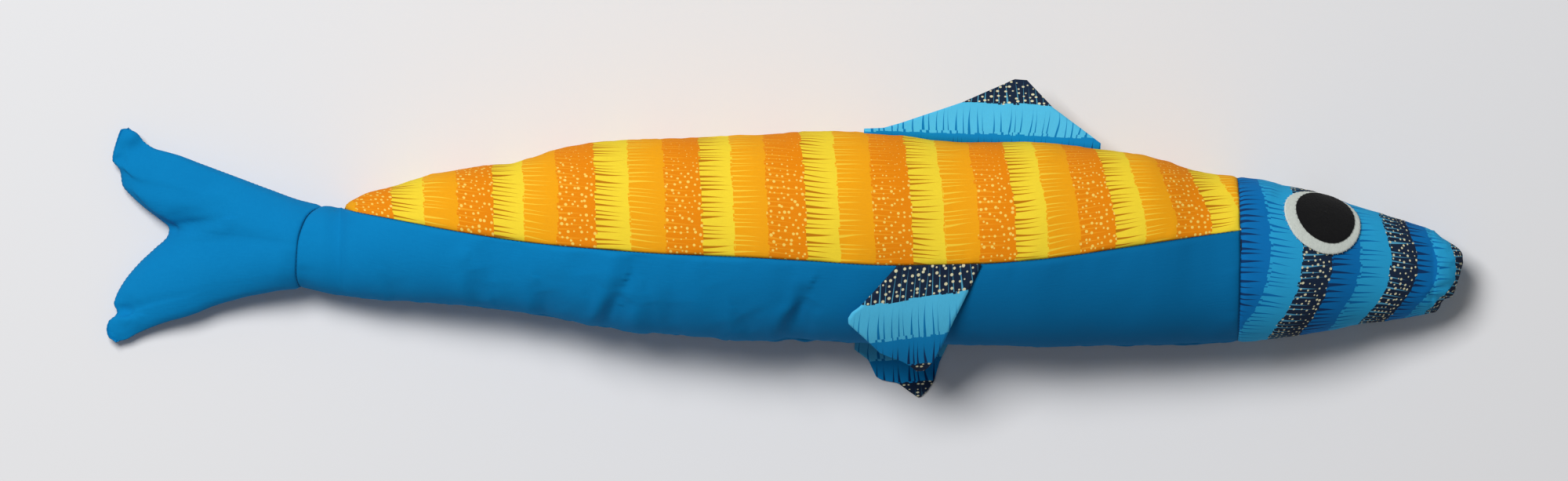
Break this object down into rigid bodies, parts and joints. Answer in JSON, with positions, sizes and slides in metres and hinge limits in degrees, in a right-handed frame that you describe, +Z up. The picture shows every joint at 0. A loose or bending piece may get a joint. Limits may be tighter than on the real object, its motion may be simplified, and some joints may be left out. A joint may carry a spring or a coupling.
{
  "type": "stuffed fabric fish",
  "caption": "Long stuffed fish sewn from printed and plain cotton, with felt eyes, a forked tail and flat cloth fins, lying on its side.",
  "frame": {"origin": "on the floor, at the centre of the underside of the fish's box as it lies on its left side", "axes": "+X to the snout, +Y to the back of the fish, +Z up, out of its right side"},
  "size_m": [0.9009, 0.2115, 0.1177],
  "materials": {
    "orange_print": "matte printed cotton",
    "plain_blue": "matte plain cotton",
    "blue_print": "matte printed cotton",
    "white_felt": "matte felt",
    "black_felt": "matte felt",
    "fibre_filling": "loose polyester fibre",
    "blue_thread": "sewing thread",
    "orange_thread": "sewing thread"
  },
  "bodies": {
    "torso": {"back_panel_right": "orange_print", "back_panel_left": "orange_print", "belly_panel_right": "plain_blue", "belly_panel_left": "plain_blue", "torso_filling": "fibre_filling", "back_seam_thread": "orange_thread", "belly_seam_thread": "blue_thread", "side_seam_thread_right": "blue_thread", "side_seam_thread_left": "blue_thread"},
    "head": {"head_panel_right": "blue_print", "head_panel_left": "blue_print", "head_filling": "fibre_filling", "head_edge_thread": "blue_thread", "head_seam_thread": "blue_thread", "eye_white_right": "white_felt", "eye_white_left": "white_felt", "pupil_right": "black_felt", "pupil_left": "black_felt"},
    "tail": {"tail_panel_right": "plain_blue", "tail_panel_left": "plain_blue", "tail_filling": "fibre_filling", "tail_edge_thread": "blue_thread", "tail_seam_thread": "blue_thread"},
    "dorsal_fin": {"dorsal_fin_right_layer": "blue_print", "dorsal_fin_left_layer": "blue_print", "dorsal_fin_thread": "blue_thread"},
    "right_fin": {"right_fin_outer_layer": "blue_print", "right_fin_inner_layer": "blue_print", "right_fin_thread": "blue_thread"},
    "left_fin": {"left_fin_outer_layer": "blue_print", "left_fin_inner_layer": "blue_print", "left_fin_thread": "blue_thread"}
  },
  "joints": [
    {"name": "head_bend", "type": "hinge", "parent": "torso", "child": "head", "pos_m": [0.294, -0.01219, 0.05039], "axis": [0, 1, 0], "range_deg": [-14, 14], "stiffness_Nm_per_rad": 2},
    {"name": "tail_bend", "type": "hinge", "parent": "torso", "child": "tail", "pos_m": [-0.308, -0.00565, 0.02725], "axis": [0, 1, 0], "range_deg": [-28, 28], "stiffness_Nm_per_rad": 0.6},
    {"name": "dorsal_fin_flop", "type": "hinge", "parent": "torso", "child": "dorsal_fin", "pos_m": [0.053, 0.07399, 0.05617], "axis": [0.9978, -0.0623, -0.0205], "range_deg": [-70, 60], "stiffness_Nm_per_rad": 0.01},
    {"name": "right_fin_flap", "type": "hinge", "parent": "torso", "child": "right_fin", "pos_m": [0.0735, -0.01713, 0.11656], "axis": [-0.999, -0.0207, 0.0389], "range_deg": [0, 140]},
    {"name": "left_fin_flap", "type": "hinge", "parent": "torso", "child": "left_fin", "pos_m": [0.0735, -0.01675, 0.0012], "axis": [0.9998, 0.0195, 0], "range_deg": [0, 140]}
  ]
}
